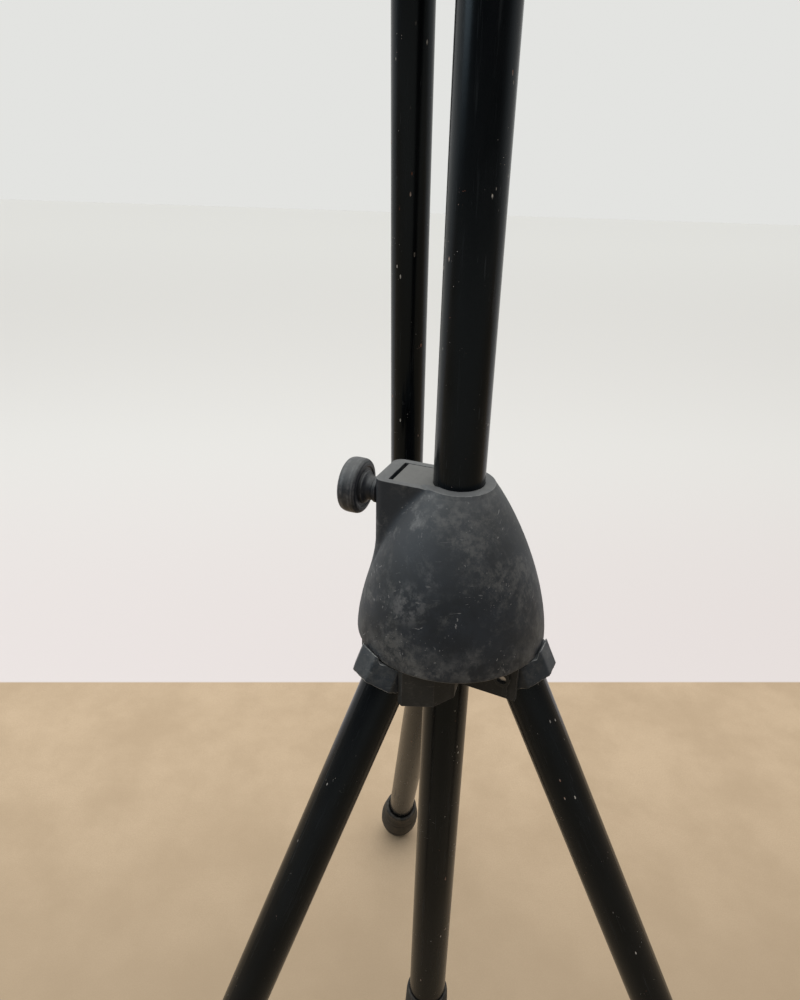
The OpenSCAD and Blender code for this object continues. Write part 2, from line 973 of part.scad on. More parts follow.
module cam_sensor() {
  color([0.30, 0.32, 0.40])
    place()
    translate([boom_x - 2.6, cam_front_y + 10.2, cam_z - 2])
      cube([5.2, 1.1, 4]);
}

module cam_port() {
  color([0.65, 0.66, 0.68])
    place()
    difference() {
      translate([boom_x + 18 - 4.5, cam_front_y + 12.7, cam_z - 1.7])
        cube([9, cam_back_y - 0.6 - cam_front_y - 12.7, 3.4]);
      translate([boom_x + 18 - 4.1, cam_back_y - 7, cam_z - 1.3])
        cube([8.2, 10, 2.6]);
    }
}

module cam_led() {
  color([0.80, 0.85, 0.90])
    place()
    translate([boom_x - 25, cam_front_y + 2.15, cam_z])
      rotate([-90, 0, 0])
        cylinder(h = 2.4, r = 1.15);
}

module cam_screws() {
  color([0.60, 0.61, 0.63])
    place()
    for (s = [-1, 1])
      translate([boom_x + s * (cam_w / 2 - 12), 0, cam_z])
        rotate([90, 0, 0])
          difference() {
            union() {
              translate([0, 0, -cam_back_y + 1.2])
                cylinder(h = 1.7, r = 2.6);
              translate([0, 0, -cam_back_y + 2])
                cylinder(h = 17, r = 1.4);
            }
            translate([0, 0, -cam_back_y + 0.5])
              cylinder(h = 1.6, r = 1.1, $fn = 6);
          }
}

module cam_shutter() {
  w = shutter_w - 0.6;
  color([0.10, 0.10, 0.11])
    place()
    translate([boom_x + shutter_go, cam_front_y, cam_z])
      union() {
        translate([-w / 2, -3.1, -9.2])
          cube([w, 1.3, 18.4]);
        translate([w / 2 - 3, -4.9, -6])
          cube([1.6, 2, 12]);
      }
}

hub_core();
hub_cover();
cover_screws();
clamp_nut();
clamp_shoe();
clamp_screw();
clamp_knob();
hinge_pins();
sleeve_right();
sleeve_rear();
sleeve_left();
leg_right();
leg_rear();
leg_left();
foot_right();
foot_rear();
foot_left();
post_outer();
post_foot();
clutch_body();
clutch_collet();
clutch_ring();
post_inner();
inner_guide();
swivel_bracket();
swivel_washer();
swivel_bolt();
boom_clamp();
swivel_knob();
boom_tube();
boom_cap();
tip_plug();
tip_stud();
tip_disc();
cam_base();
cam_insert();
cam_hinge_pin();
cam_neck();
cam_rear();
cam_front();
cam_glass();
lens_ring();
lens_barrel();
lens_glass();
cam_board();
cam_sensor();
cam_port();
cam_led();
cam_screws();
cam_shutter();
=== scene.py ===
import json
import math

import bpy
import numpy as np
from mathutils import Matrix, Vector


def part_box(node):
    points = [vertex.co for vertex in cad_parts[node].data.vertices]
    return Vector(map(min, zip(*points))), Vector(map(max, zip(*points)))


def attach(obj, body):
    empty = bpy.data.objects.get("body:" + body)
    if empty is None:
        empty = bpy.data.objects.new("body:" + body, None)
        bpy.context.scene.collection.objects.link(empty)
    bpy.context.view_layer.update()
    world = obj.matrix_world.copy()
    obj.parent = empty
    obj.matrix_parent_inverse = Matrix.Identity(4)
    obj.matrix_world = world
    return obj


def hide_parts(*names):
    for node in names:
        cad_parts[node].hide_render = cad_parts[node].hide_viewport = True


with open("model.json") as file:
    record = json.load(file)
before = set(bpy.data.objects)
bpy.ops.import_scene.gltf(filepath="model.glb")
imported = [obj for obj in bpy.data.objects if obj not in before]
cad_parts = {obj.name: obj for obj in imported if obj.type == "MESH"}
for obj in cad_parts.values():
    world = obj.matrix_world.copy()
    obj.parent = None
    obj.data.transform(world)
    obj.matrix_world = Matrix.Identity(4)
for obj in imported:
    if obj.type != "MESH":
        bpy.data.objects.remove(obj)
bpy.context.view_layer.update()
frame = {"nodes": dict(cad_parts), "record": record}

MM = 0.001
TAU = 2 * math.pi

# ---- where things are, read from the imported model, in millimetres
NODE = frame["nodes"]
JOINT = {j["name"]: j for j in frame["record"]["behaviour"]["joints"]}


def span(node):
    lo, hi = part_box(node)
    return np.array(lo) / MM, np.array(hi) / MM


def joint_at(name):
    return np.array(JOINT[name]["pos_m"]) / MM, np.array(JOINT[name]["axis"])


post_lo, post_hi = span("post_outer")
POST = (post_lo + post_hi) / 2 * (1, 1, 0)
HUB_TOP = span("hub_cover")[1][2]
ARM = joint_at("clamp_knob_turn")[1]  # the way that the clamp arm and its screw point
PIVOT = {s: joint_at(s + "_leg_fold") for s in ("right", "rear", "left")}
SPREAD = math.radians(26.1)  # of each leg, from straight down
SWIVEL = joint_at("boom_swivel")[0]
TILT = math.radians(9)  # of the boom, towards the front
BOOM_UP = np.array([0, -math.sin(TILT), math.cos(TILT)])
FOOT_R, FOOT_LEN, FOOT_SINK = 20, 66, 1.5
# From the hinge to the middle of the foot's round end.
LEG_LEN = (PIVOT["rear"][0][2] - FOOT_R + FOOT_SINK) / math.cos(SPREAD)

# ---------------------------------------------------------------- camera and room

cam_data = bpy.data.cameras.new("camera")
cam_data.lens = 26.5
cam = bpy.data.objects.new("camera", cam_data)
cam.location = np.array([POST[0], POST[1] - 385.96, 816.4]) * MM
cam.rotation_euler = (
    Matrix.Rotation(math.radians(5.02), 3, "Z")
    @ Matrix.Rotation(math.radians(90 - 26.27), 3, "X")
    @ Matrix.Rotation(math.radians(1.41), 3, "Z")
).to_euler()
bpy.context.collection.objects.link(cam)
bpy.context.scene.camera = cam
bpy.context.scene.view_settings.view_transform = "Standard"

# ---------------------------------------------------------------- shader maths


class Val:
    """One socket of a material, with arithmetic that adds Math nodes."""

    def __init__(self, coat, socket):
        self.coat, self.socket = coat, socket

    def math(self, op, *others, clamp=False):
        node = self.coat.tree.nodes.new("ShaderNodeMath")
        node.operation, node.use_clamp = op, clamp
        for k, v in enumerate(others):
            self.coat.feed(node.inputs[k], v)
        return Val(self.coat, node.outputs[0])

    def __add__(self, o):
        return self.math("ADD", self, o)

    def __sub__(self, o):
        return self.math("SUBTRACT", self, o)

    def __rsub__(self, o):
        return self.math("SUBTRACT", o, self)

    def __mul__(self, o):
        return self.math("MULTIPLY", self, o)

    def __truediv__(self, o):
        return self.math("DIVIDE", self, o)

    __radd__, __rmul__ = __add__, __mul__

    def over(self, lo, hi):
        """0 below lo, 1 above hi, and a smooth rise between them."""
        return self.coat.add(
            "MapRange",
            {"interpolation_type": "SMOOTHSTEP", "clamp": True},
            {"Value": self, "From Min": lo, "From Max": hi},
        )

    def most(self, o):
        return self.math("MAXIMUM", self, o)


class Coat:
    """A material being built: add() makes every node, and the other calls are short names for common
    ones."""

    def __init__(self, name):
        self.mat = bpy.data.materials.new(name)
        self.mat.use_nodes = True
        self.tree = self.mat.node_tree
        self.tree.nodes.clear()
        self.place = self.add("TexCoord", {}, {}, "Object")

    def feed(self, socket, v):
        if isinstance(v, Val):
            self.tree.links.new(v.socket, socket)
        elif isinstance(v, (tuple, list)) and len(v) == 3 and socket.type == "RGBA":
            socket.default_value = (*v, 1)
        else:
            socket.default_value = v

    def add(self, kind, settings, inputs, out=0):
        node = self.tree.nodes.new("ShaderNode" + kind)
        for k, v in settings.items():
            if k == "stops":
                ramp = node.color_ramp.elements
                while len(ramp) < len(v):
                    ramp.new(0.5)
                for stop, (at, shade) in zip(ramp, v):
                    stop.position, stop.color = at, (*shade, 1)
            else:
                setattr(node, k, v)
        for k, v in inputs.items():
            self.feed(node.inputs[k], v)
        return Val(self, node.outputs[out])

    def along(self, stretch, turn=(0, 0, 0)):
        """Object coordinates turned, then stretched, so that a pattern can run along a tube."""
        turned = self.add(
            "VectorRotate", {"rotation_type": "EULER_XYZ", "invert": True},
            {"Vector": self.place, "Rotation": turn},
        )
        return self.add("VectorMath", {"operation": "MULTIPLY"}, {0: turned, 1: stretch})

    def noise(self, scale, detail=4, rough=0.6, at=None, warp=0.0):
        return self.add(
            "TexNoise", {},
            {"Vector": at or self.place, "Scale": scale, "Detail": detail,
             "Roughness": rough, "Distortion": warp},
        )

    def cells(self, scale, at=None, feature="F1", random=1.0):
        return self.add(
            "TexVoronoi", {"feature": feature},
            {"Vector": at or self.place, "Scale": scale, "Randomness": random}, "Distance",
        )

    def mix(self, f, a, b):
        node = self.tree.nodes.new("ShaderNodeMix")
        node.data_type = "RGBA"
        self.feed(node.inputs["Factor"], f)
        self.feed(node.inputs["A"], a)
        self.feed(node.inputs["B"], b)
        return Val(self, node.outputs["Result"])

    def up(self):
        """How far a face looks up, from -1 to 1."""
        n = self.add("NewGeometry", {}, {}, "Normal")
        return self.add("SeparateXYZ", {}, {0: n}, "Z")

    def edge(self, radius=0.0006):
        """A mask of sharp edges on CAD solids: where the rounded normal leaves the true one."""
        soft = self.add("Bevel", {"samples": 4}, {"Radius": radius})
        true = self.add("NewGeometry", {}, {}, "Normal")
        dot = self.add("VectorMath", {"operation": "DOT_PRODUCT"}, {0: soft, 1: true}, "Value")
        return (1 - dot).over(0.004, 0.09)

    def painted_edge(self):
        """The edge mask that this script's own pieces carry."""
        return self.add("Attribute", {"attribute_name": "edge"}, {}, "Fac")

    def bump(self, height, distance, strength):
        return self.add("Bump", {}, {"Height": height, "Distance": distance, "Strength": strength})

    def finish(self, color, rough, normal=None, metal=0.0, **fixed):
        ins = {"Base Color": color, "Roughness": rough, "Metallic": metal}
        if normal is not None:
            ins["Normal"] = normal
        ins.update({k.replace("_", " "): v for k, v in fixed.items()})
        shader = self.add("BsdfPrincipled", {}, ins)
        out = self.tree.nodes.new("ShaderNodeOutputMaterial")
        self.tree.links.new(shader.socket, out.inputs["Surface"])
        return self.mat


# ---------------------------------------------------------------- shapes


def turn(n):
    """n angles once round, starting at 0."""
    return np.arange(n) * TAU / n


def smooth_max(a, b, k):
    """The larger of a and b, with the corner between them filled over a width k."""
    h = np.maximum(k - np.abs(a - b), 0) / k
    return np.maximum(a, b) + h * h * k / 4


def rise(x, lo, hi):
    """0 below lo, 1 above hi, smooth between."""
    t = np.clip((x - lo) / (hi - lo), 0, 1)
    return t * t * (3 - 2 * t)


def outline(phi, sides, soft=24):
    """Polar radius of a convex outline given as (direction in degrees, distance) of each side: 1 / radius
    is the p-norm, over the sides, of cos(angle between) / distance, so a low p rounds the corners."""
    total = 0
    for way, far in sides:
        total = total + (np.maximum(np.cos(phi - math.radians(way)), 0) / far) ** soft
    return total ** (-1 / soft)


def soften(corners, closed, steps):
    """A smooth path through corners (a, b, size): each corner turns into a quadratic curve between the
    points `size` along its two edges. Returns a, b and a mask, 1 at the middle of outward corners."""
    n = max(np.size(v) for c in corners for v in c[:2])
    pts = np.array([[np.broadcast_to(v, n).astype(float) for v in c[:2]] for c in corners])
    mean = pts.mean(2)
    nxt = np.roll(mean, -1, 0)
    wind = np.sign((mean[:, 0] * nxt[:, 1] - nxt[:, 0] * mean[:, 1]).sum())
    path, mask = [], []
    for i, corner in enumerate(corners):
        size = corner[2] if len(corner) > 2 else 0
        here = pts[i]
        if np.max(size) == 0 or (not closed and i in (0, len(corners) - 1)):
            path.append(here)
            mask.append(0.0)
            continue
        back, on = pts[i - 1] - here, pts[(i + 1) % len(corners)] - here
        lb, lo = np.hypot(*back) + 1e-9, np.hypot(*on) + 1e-9
        s = np.minimum(size, 0.48 * np.minimum(lb, lo))
        a, b = here + back / lb * s, here + on / lo * s
        out = (back[1] * on[0] - back[0] * on[1]).mean() * wind > 0
        for t in np.linspace(0, 1, steps):
            path.append((1 - t) ** 2 * a + 2 * t * (1 - t) * here + t * t * b)
            mask.append(math.sin(math.pi * t) * out)
    path = np.array(path)
    return path[:, 0], path[:, 1], np.array(mask)


def frame_axes(up, front):
    """Three directions at right angles: front as near as it can be to the one given, side, and up."""
    up = np.array(up, float) / np.linalg.norm(up)
    front = np.array(front, float) - np.dot(front, up) * up
    front = front / np.linalg.norm(front)
    return front, np.cross(up, front), up


def to_place(P, at, up, front):
    """Local x, y, z laid along the front, side and up directions of a frame that stands at a point."""
    x, y, z = frame_axes(up, front)
    return np.array(at) + P[..., :1] * x + P[..., 1:2] * y + P[..., 2:3] * z


def make(name, verts, faces, coat, body, node, edge, crease=38):
    """A piece from points in millimetres, in place of a CAD node: its faces are turned outwards by the
    sign of the volume that they enclose."""
    verts = np.asarray(verts, float) * MM
    volume = 0
    for f in faces:
        for k in range(1, f.shape[1] - 1):
            a, b, c = verts[f[:, 0]], verts[f[:, k]], verts[f[:, k + 1]]
            volume += np.einsum("ij,ij->", a, np.cross(b, c))
    if volume < 0:
        faces = [f[:, ::-1] for f in faces]
    mesh = bpy.data.meshes.new(name)
    loops = np.concatenate([f.ravel() for f in faces])
    sizes = np.concatenate([np.full(len(f), f.shape[1]) for f in faces])
    mesh.vertices.add(len(verts))
    mesh.vertices.foreach_set("co", verts.ravel())
    mesh.loops.add(len(loops))
    mesh.loops.foreach_set("vertex_index", loops.astype(np.int32))
    mesh.polygons.add(len(sizes))
    mesh.polygons.foreach_set("loop_start", (np.cumsum(sizes) - sizes).astype(np.int32))
    mesh.polygons.foreach_set("loop_total", sizes.astype(np.int32))
    mesh.update(calc_edges=True)
    mesh.validate()
    mesh.shade_smooth()
    mesh.set_sharp_from_angle(angle=math.radians(crease))
    worn = mesh.attributes.new("edge", "FLOAT", "POINT")
    worn.data.foreach_set("value", edge)
    mesh.materials.append(coat)
    piece = bpy.data.objects.new(name, mesh)
    bpy.context.collection.objects.link(piece)
    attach(piece, body)
    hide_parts(node)


def ring_faces(m, n, closed):
    """Four-sided faces between m rings of n points, and from the last ring to the first if closed."""
    at = np.arange(m * n).reshape(m, n)
    a = at if closed else at[:-1]
    b = np.roll(at, -1, 0) if closed else at[1:]
    return np.stack([a, np.roll(a, -1, 1), np.roll(b, -1, 1), b], -1).reshape(-1, 4)


def skin(rings, edge, closed):
    """Points, faces and edge mask of a surface through rings (m, n, 3): each ring closes on itself, and
    the last ring meets the first, or each end closes on one point."""
    m, n = rings.shape[:2]
    verts = rings.reshape(-1, 3)
    faces = [ring_faces(m, n, closed)]
    mask = np.repeat(edge, n)
    if not closed:
        ends = np.array([rings[0].mean(0), rings[-1].mean(0)])
        verts = np.vstack([verts, ends])
        j = np.arange(n)
        k = np.roll(j, -1)
        last = (m - 1) * n
        faces.append(np.stack([np.full(n, m * n), k, j], -1))
        faces.append(np.stack([np.full(n, m * n + 1), last + j, last + k], -1))
        mask = np.append(mask, [0, 0])
    return verts, faces, mask


def swept(corners, phi, at, up, front, closed, steps, flat_at=None):
    """Points, faces and edge mask of a profile carried once round an axis: at each angle of phi the
    corners are (radius, height, softness), each a number or an array over phi. What is under flat_at is
    pressed up to it."""
    r, z, mask = soften(corners, closed, steps)
    r, z = np.broadcast_to(r, (len(r), len(phi))), np.broadcast_to(z, (len(z), len(phi)))
    place = to_place(np.stack([r * np.cos(phi), r * np.sin(phi), z], -1), at, up, front)
    if flat_at is not None:
        place[..., 2] = np.maximum(place[..., 2], flat_at)
    return skin(place, mask, closed)


def turned(name, corners, at, up, coat, body, node, slot, n, front=(1, 0, 0), closed=False, steps=4):
    """A turned piece that stands for one CAD node: the corners of its profile, swept in n steps."""
    verts, faces, edge = swept(corners, turn(n), at, up, front, closed, steps)
    make(name, verts, faces, coat, body, node, edge)


def dress(coat, *nodes):
    """Gives CAD nodes whose shape is right their finish."""
    for node in nodes:
        slots = NODE[node].data.materials
        slots.clear()
        slots.append(coat)


# ---------------------------------------------------------------- finishes


def tube_paint(name, way):
    """Gloss black paint on a tube: orange-peel ripple, long rubbed streaks, hairline scratches along and
    across, and small chips to pale primer and rust."""
    c = Coat(name)
    up = Vector(way).to_track_quat("Z", "Y").to_euler()
    long_ = c.along((1, 1, 0.05), up)
    short = c.along((1, 1, 0.35), up)
    streak = c.noise(260, 5, 0.7, long_).over(0.56, 0.72)
    hair = c.noise(900, 2, 0.5, long_, 0.3).over(0.70, 0.735)
    patch = c.noise(28, 4, 0.65, short)
    chip = (1 - c.cells(300, short).over(0.09, 0.16)) * c.noise(46, 3, 0.6).over(0.575, 0.65)
    dots = (1 - c.cells(520).over(0.05, 0.12)) * c.noise(90, 2, 0.5).over(0.60, 0.66)
    scar = (1 - c.cells(70, c.along((1, 1, 0.12), up)).over(0.03, 0.06)) * c.noise(19, 2).over(0.52, 0.58)
    marks = chip.most(dots).most(scar)
    rust, primer, bare = (0.30, 0.10, 0.05), (0.50, 0.46, 0.42), (0.72, 0.71, 0.69)
    stops = [(0.35, rust), (0.5, primer), (0.75, bare)]
    tone = c.add("ValToRGB", {"stops": stops}, {"Fac": c.noise(60, 2)})
    base = c.mix(patch.over(0.35, 0.75), (0.0014, 0.0018, 0.0026), (0.0042, 0.0050, 0.0062))
    base = c.mix(streak * 0.16 + hair * 0.3, base, (0.040, 0.046, 0.052))
    base = c.mix(marks * 0.85, base, tone)
    rough = 0.16 + patch * 0.16 + streak * 0.16 + marks * 0.4
    ripple = c.noise(420, 2, 0.5)
    normal = c.bump(ripple * 0.25 - hair * 0.4 - marks, 0.00012, 0.5)
    return c.finish(base, rough, normal, Specular_IOR_Level=0.2, Specular_Tint=(0.70, 0.87, 1.0))


def moulded(name, dark, pale, edge_tone, grain, dusty, scuffs, rough, own=True, marks=None,
            film=(0.17, 0.166, 0.158)):
    """Moulded plastic: fine spark-eroded grain, cloudy rubbed patina, short pale scuffs that run in
    several directions, pale worn edges, and a film of dust on what faces up. `own` is for pieces with
    this script's edge mask, and marks(coat) gives masks of more dust and of a painted highlight."""
    c = Coat(name)
    cloud = c.noise(22, 6, 0.62)
    fine = c.noise(grain, 2, 0.5)
    mottle = c.noise(120, 5, 0.7)
    scuff = 0
    for k, (tilt, lean) in enumerate([(0.5, 0.2), (-0.6, 1.1), (1.4, -0.5), (0.1, 2.2)]):
        way = c.along((1, 1, 0.10), (tilt, lean, 0.8 * k))
        line = c.noise(520 + 90 * k, 2, 0.55, way).over(0.665, 0.70)
        line = line * c.noise(34 + 7 * k, 3, 0.6, way).over(0.54, 0.64)
        scuff = line if k == 0 else scuff.most(line)
    rub_and_sheen = c.noise(60, 6, 0.75).over(0.54, 0.72) * cloud.over(0.46, 0.62)
    edge = c.painted_edge() if own else c.edge()
    smudge = c.noise(24, 7, 0.72, warp=0.4).over(0.45, 0.62) * c.noise(210, 5, 0.75).over(0.38, 0.62)
    speck = (1 - c.cells(1250).over(0.05, 0.13)) * c.noise(48, 3, 0.6).over(0.46, 0.62)
    worn = edge * c.noise(240, 4, 0.7).over(0.34, 0.62)
    dust = c.up().over(0.25, 0.95) * (0.55 + mottle * 0.6) * dusty
    if marks:
        more_dust, painted_sheen = marks(c)
        dust = dust.most(more_dust * (0.5 + mottle * 0.8))
        # On the hub, marks adds a painted highlight here, which lightens like the real rubbing.
        rub_and_sheen = rub_and_sheen.most(painted_sheen * mottle.over(0.42, 0.62))
    base = c.mix(cloud.over(0.36, 0.64), tuple(0.82 * v for v in dark), tuple(1.7 * v for v in dark))
    base = c.mix(mottle.over(0.42, 0.72) * 0.45, base, tuple(1.9 * v for v in dark))
    base = c.mix(smudge * 0.46 * scuffs, base, tuple(0.62 * v for v in film))
    # Rubbing and specks lighten towards pale; on the hub this also paints the highlight patch.
    base = c.mix(rub_and_sheen * 0.46 * scuffs + speck * 0.45 * scuffs, base, pale)
    base = c.mix(scuff * 0.75 * scuffs, base, pale)
    base = c.mix(worn * 0.6, base, edge_tone)
    base = c.mix(dust, base, film)
    surface = rough + mottle * 0.16 - rub_and_sheen * 0.10 + dust * 0.25
    normal = c.bump(fine * 0.6 + mottle * 0.4 - scuff * 0.8, 0.00010, 0.55)
    return c.finish(base, surface, normal, Specular_IOR_Level=0.42, Specular_Tint=(0.86, 0.94, 1.0))


def rubber(name):
    """Old rubber: matte, a little bloomed, with floor dust in patches and fine cracks."""
    dark = (0.012, 0.0118, 0.0112)
    c = Coat(name)
    cloud = c.noise(40, 5, 0.65)
    fine = c.noise(1400, 3, 0.6)
    crack = 1 - c.cells(150, c.along((1, 1, 0.5)), feature="DISTANCE_TO_EDGE").over(0.0, 0.03)
    edge = c.painted_edge()
    dirt = c.noise(160, 5, 0.7).over(0.42, 0.68)
    base = c.mix(cloud, dark, tuple(2.1 * v for v in dark))
    base = c.mix(dirt * 0.42, base, (0.085, 0.068, 0.05))
    base = c.mix(edge * 0.35 * dirt, base, (0.14, 0.12, 0.10))
    normal = c.bump(fine * 0.5 - crack * 0.3 * dirt, 0.00012, 0.5)
    return c.finish(base, 0.62 + cloud * 0.2, normal, Specular_IOR_Level=0.35)


def plated(name, tone=(0.42, 0.42, 0.43), rough=0.24, lines=(1, 1, 0.02), rust=0.35):
    """Plated steel: fine drawn lines, dull spots, and a little rust in specks."""
    c = Coat(name)
    draw = c.noise(1600, 3, 0.6, c.along(lines))
    dull = c.noise(90, 5, 0.7).over(0.45, 0.7)
    speck = (1 - c.cells(420).over(0.08, 0.2)) * c.noise(70, 3).over(0.52, 0.62) * rust
    base = c.mix(dull * 0.4, tone, tuple(0.6 * v for v in tone))
    base = c.mix(speck, base, (0.16, 0.07, 0.03))
    metal = 1 - speck * 0.8
    normal = c.bump(draw, 0.00003, 0.4)
    return c.finish(base, rough + dull * 0.16 + draw * 0.08 + speck * 0.4, normal, metal)


def plain_gloss(name, tone, rough):
    """Gloss plastic: faint swirl scratches, finger marks that dull it, and a few grains of dust."""
    c = Coat(name)
    swirl = c.noise(700, 2, 0.5, c.along((1, 1, 0.06), (0.3, 1.2, 0.4))).over(0.66, 0.72)
    smear = c.noise(55, 4, 0.6, warp=0.6).over(0.45, 0.75)
    grain = 1 - c.cells(900).over(0.05, 0.1)
    base = c.mix(swirl * 0.07 + grain * 0.10, tone, (0.3, 0.3, 0.3))
    return c.finish(base, rough + smear * 0.16 + grain * 0.2, c.bump(swirl, 0.00003, 0.3))


def solder_mask(name):
    """Circuit board: green mask with raised tracks and small tinned pads."""
    c = Coat(name)
    tracks = c.cells(420, feature="DISTANCE_TO_EDGE").over(0.0, 0.06)
    pads = 1 - c.cells(330, random=0.3).over(0.16, 0.2)
    base = c.mix(tracks, (0.02, 0.16, 0.07), (0.008, 0.085, 0.035))
    base = c.mix(pads, base, (0.55, 0.52, 0.45))
    return c.finish(base, 0.35 - pads * 0.1, c.bump(pads - tracks * 0.3, 0.0001, 0.5), pads * 0.8)


black_post = tube_paint("black_paint_post", (0, 0, 1))
black_boom = tube_paint("black_paint_boom", tuple(BOOM_UP))


def arm_and_side(c):
    """Where the hub is dustier, on top of the clamp arm and in a band over the rim, and a painted
    highlight, a lighter patch low on its left side."""
    far = c.add("VectorMath", {"operation": "SUBTRACT"}, {0: c.place, 1: tuple(POST * MM)})
    flat = c.add("VectorMath", {"operation": "MULTIPLY"}, {0: far, 1: (1, 1, 0)})
    reach = c.add("VectorMath", {"operation": "LENGTH"}, {0: flat}, "Value")
    arm = reach.over(0.0205, 0.024) * c.up().over(0.85, 0.98)
    # Painted highlight: a round patch on the dome's left front, lightened like rubbing.
    sheen_spot = tuple((POST + (-25, -44, HUB_TOP - 58)) * MM)
    near = c.add("VectorMath", {"operation": "DISTANCE"}, {0: c.place, 1: sheen_spot}, "Value")
    height = c.add("SeparateXYZ", {}, {0: far}, "Z")
    rim = 1 - height.over((HUB_TOP - 95) * MM, (HUB_TOP - 72) * MM)
    band = rim * c.noise(75, 6, 0.75).over(0.42, 0.62) * 0.42
    return arm.most(band) * 0.66, (1 - near.over(0.004, 0.016)) * 0.9


hub_plastic = moulded("hub_plastic", (0.0088, 0.0108, 0.0148),
                      (0.20, 0.197, 0.198), (0.26, 0.255, 0.25), 1500, 0.55, 1.0, 0.50,
                      marks=arm_and_side, film=(0.20, 0.198, 0.192))
core_plastic = moulded("core_plastic", (0.011, 0.011, 0.0108),
                       (0.12, 0.11, 0.10), (0.15, 0.14, 0.13), 1500, 0.3, 0.5, 0.55, False)
shoe_plastic = moulded("shoe_plastic", (0.022, 0.022, 0.022),
                       (0.22, 0.21, 0.20), (0.2, 0.19, 0.18), 1500, 0.95, 0.5, 0.6, False)
slate_plastic = moulded("slate_plastic", (0.0098, 0.0125, 0.0165),
                        (0.15, 0.15, 0.15), (0.40, 0.385, 0.36), 1100, 0.25, 0.55, 0.42)
knob_plastic = moulded("knob_plastic", (0.0088, 0.0100, 0.0135),
                       (0.17, 0.17, 0.17), (0.12, 0.12, 0.125), 1300, 0.45, 0.55, 0.40)
head_plastic = moulded("head_plastic", (0.016, 0.0165, 0.0175),
                       (0.15, 0.15, 0.15), (0.12, 0.12, 0.12), 1500, 0.35, 0.5, 0.45)
head_plastic_cad = moulded("head_plastic_cad", (0.016, 0.0165, 0.0175),
                           (0.15, 0.15, 0.15), (0.12, 0.12, 0.12), 1500, 0.35, 0.5, 0.45, False)
case_plastic_cad = moulded("case_plastic_cad", (0.011, 0.0112, 0.0118),
                           (0.10, 0.10, 0.10), (0.07, 0.07, 0.07), 2600, 0.3, 0.25, 0.46, False)
pale_plastic = moulded("pale_plastic", (0.30, 0.29, 0.27),
                       (0.45, 0.44, 0.42), (0.5, 0.49, 0.47), 1600, 0.2, 0.3, 0.45, False)
fibre = moulded("fibre_washer", (0.05, 0.034, 0.02),
                (0.12, 0.09, 0.06), (0.10, 0.08, 0.05), 900, 0.2, 0.5, 0.7, False)
old_rubber = rubber("old_rubber")
steel = plated("plated_steel")
bright_tube = plated("bright_tube", (0.62, 0.63, 0.64), 0.10, (1, 1, 0.01), 0.2)
brass = plated("brass_insert", (0.60, 0.42, 0.16), 0.22, (1, 1, 0.02), 0.0)
fascia = plain_gloss("fascia_gloss", (0.006, 0.006, 0.0068), 0.07)
shutter_coat = plain_gloss("shutter_plastic", (0.014, 0.014, 0.015), 0.32)
lens_coat = plain_gloss("lens_glass", (0.012, 0.014, 0.03), 0.03)
chip_coat = plain_gloss("sensor_chip", (0.05, 0.06, 0.10), 0.15)
lamp_coat = plain_gloss("lamp_plastic", (0.62, 0.68, 0.72), 0.2)
board = solder_mask("circuit_board")

# ---------------------------------------------------------------- room


